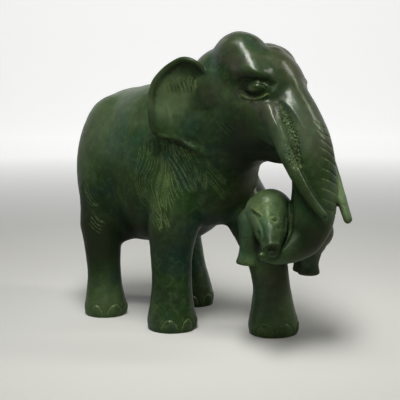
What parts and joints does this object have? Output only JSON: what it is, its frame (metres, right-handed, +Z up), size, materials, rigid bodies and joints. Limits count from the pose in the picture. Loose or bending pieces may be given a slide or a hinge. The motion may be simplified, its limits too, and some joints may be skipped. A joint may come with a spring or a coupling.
{
  "type": "elephant statue",
  "caption": "Bronze cow elephant carrying her calf in the crook of her trunk, cast as one piece and standing on its own feet",
  "frame": {"origin": "on the ground under the soles, at the middle of the bounding box", "axes": "+Z up, -Y the way the mother faces, +X her left side"},
  "size_m": [0.1928, 0.424, 0.36],
  "materials": {
    "patinated_bronze": "waxed dark green patina, satin to glossy, with lighter yellow-green verdigris in the engraved lines"
  },
  "bodies": {
    "root": {"elephant_with_calf": "patinated_bronze"}
  },
  "joints": []
}
